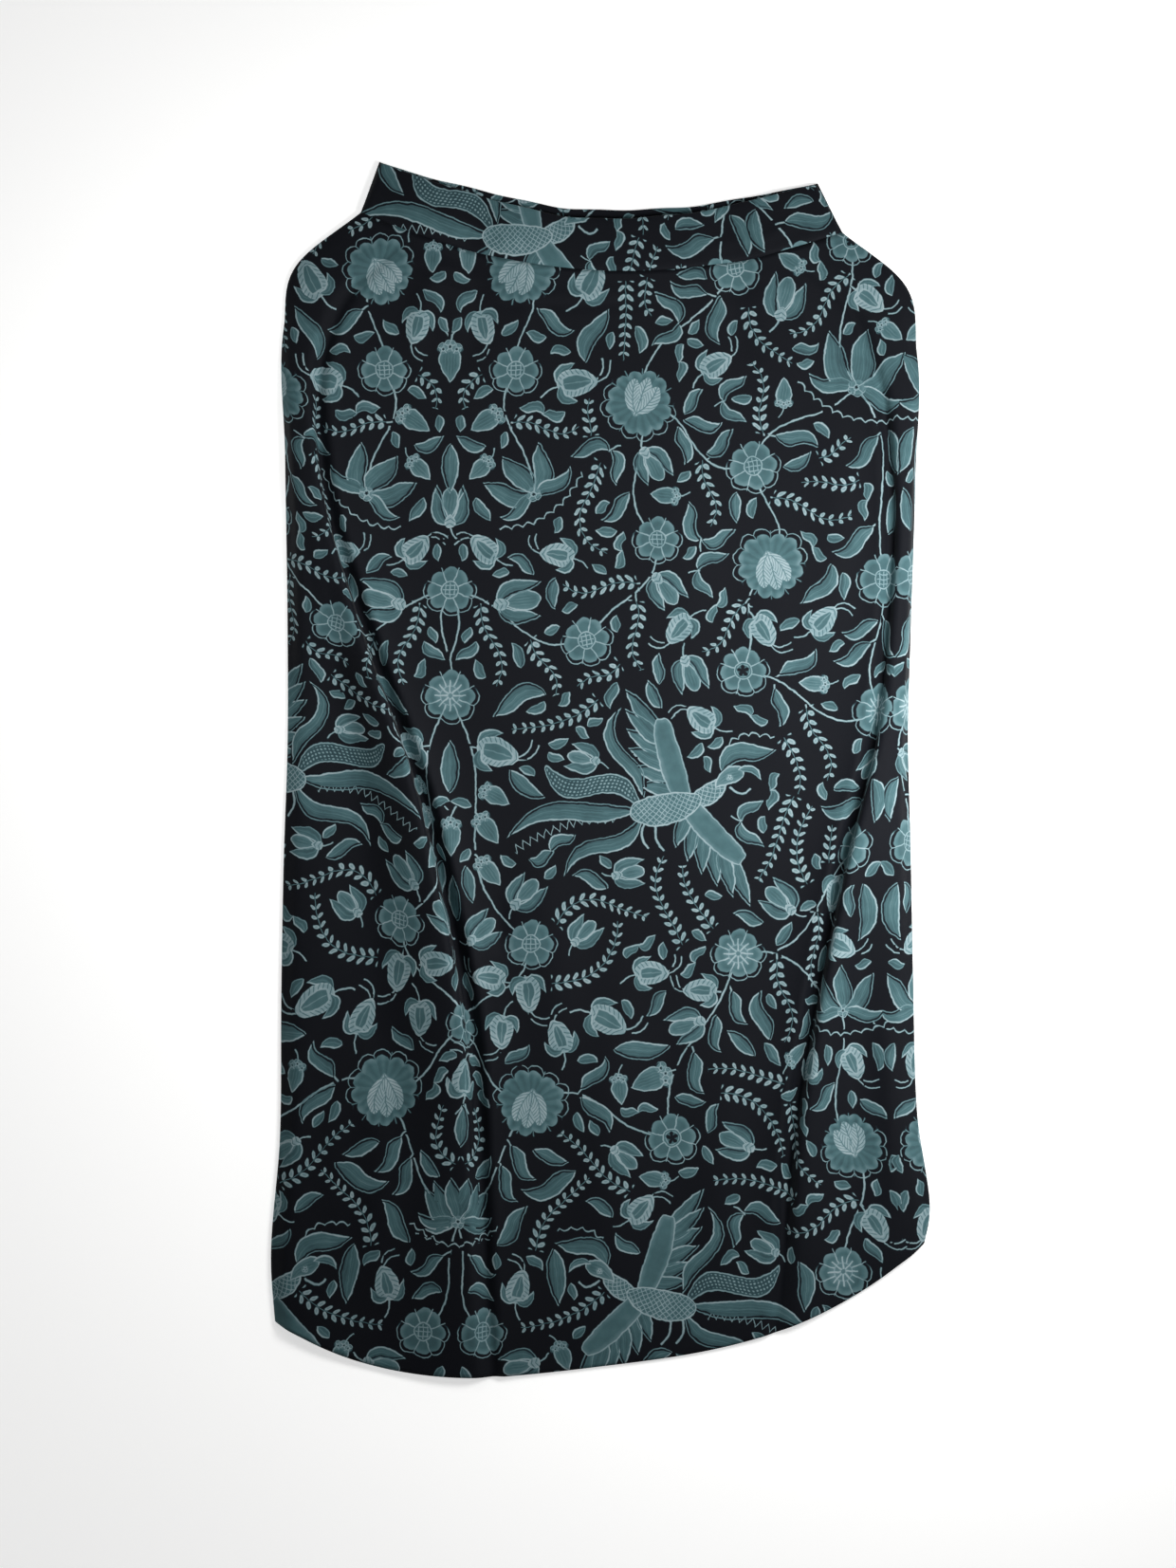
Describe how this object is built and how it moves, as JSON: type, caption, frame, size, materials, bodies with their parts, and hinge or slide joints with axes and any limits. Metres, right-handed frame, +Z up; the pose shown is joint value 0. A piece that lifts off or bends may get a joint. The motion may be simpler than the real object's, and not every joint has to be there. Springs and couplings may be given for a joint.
{
  "type": "batik skirt",
  "caption": "Long printed cotton skirt laid flat, front panel on back panel, with a waistband, soft side rolls and two long folds from the hips.",
  "frame": {"origin": "on the table, under the middle of the laid-out skirt's outline", "axes": "+Y along the skirt from the hem to the waist, +Z up out of the table through the front of the skirt, +X to the right as one looks down on the front"},
  "size_m": [0.522, 0.9621, 0.0163],
  "materials": {
    "printed_cotton": "matt printed batik cotton, near-black navy ground with teal and pale motifs"
  },
  "bodies": {
    "root": {"front_panel": "printed_cotton", "back_panel": "printed_cotton", "waistband_front": "printed_cotton", "waistband_back": "printed_cotton"}
  },
  "joints": []
}
